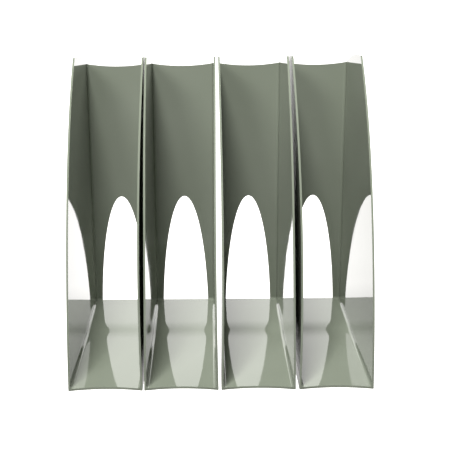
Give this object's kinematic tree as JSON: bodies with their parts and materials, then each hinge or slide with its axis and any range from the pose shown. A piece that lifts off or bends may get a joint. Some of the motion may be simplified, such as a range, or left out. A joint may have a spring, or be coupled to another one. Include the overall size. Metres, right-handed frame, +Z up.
{
  "type": "magazine file set",
  "caption": "Row of free-standing gloss plastic magazine files with swept sides, bowed edges and a tall arched opening in each spine, on small rubber feet.",
  "frame": {"origin": "centre of the row on the surface that the feet stand on", "axes": "+Z up, -Y out of the open fronts, +X to the right seen from the front"},
  "size_m": [0.3072, 0.252, 0.318],
  "materials": {
    "grey_moulding": "high gloss",
    "foot_rubber": "matt"
  },
  "bodies": {
    "file_1": {"file_1_shell": "grey_moulding", "file_1_foot_front_left": "foot_rubber", "file_1_foot_front_right": "foot_rubber", "file_1_foot_back_left": "foot_rubber", "file_1_foot_back_right": "foot_rubber"},
    "file_2": {"file_2_shell": "grey_moulding", "file_2_foot_front_left": "foot_rubber", "file_2_foot_front_right": "foot_rubber", "file_2_foot_back_left": "foot_rubber", "file_2_foot_back_right": "foot_rubber"},
    "file_3": {"file_3_shell": "grey_moulding", "file_3_foot_front_left": "foot_rubber", "file_3_foot_front_right": "foot_rubber", "file_3_foot_back_left": "foot_rubber", "file_3_foot_back_right": "foot_rubber"},
    "file_4": {"file_4_shell": "grey_moulding", "file_4_foot_front_left": "foot_rubber", "file_4_foot_front_right": "foot_rubber", "file_4_foot_back_left": "foot_rubber", "file_4_foot_back_right": "foot_rubber"}
  },
  "joints": [
    {"name": "file_1_slide", "type": "slide", "parent": "file_2", "child": "file_1", "axis": [0, -1, 0], "range_m": [0, 0.16]},
    {"name": "file_3_slide", "type": "slide", "parent": "file_2", "child": "file_3", "axis": [0, -1, 0], "range_m": [0, 0.16]},
    {"name": "file_4_slide", "type": "slide", "parent": "file_2", "child": "file_4", "axis": [0, -1, 0], "range_m": [0, 0.16]}
  ]
}
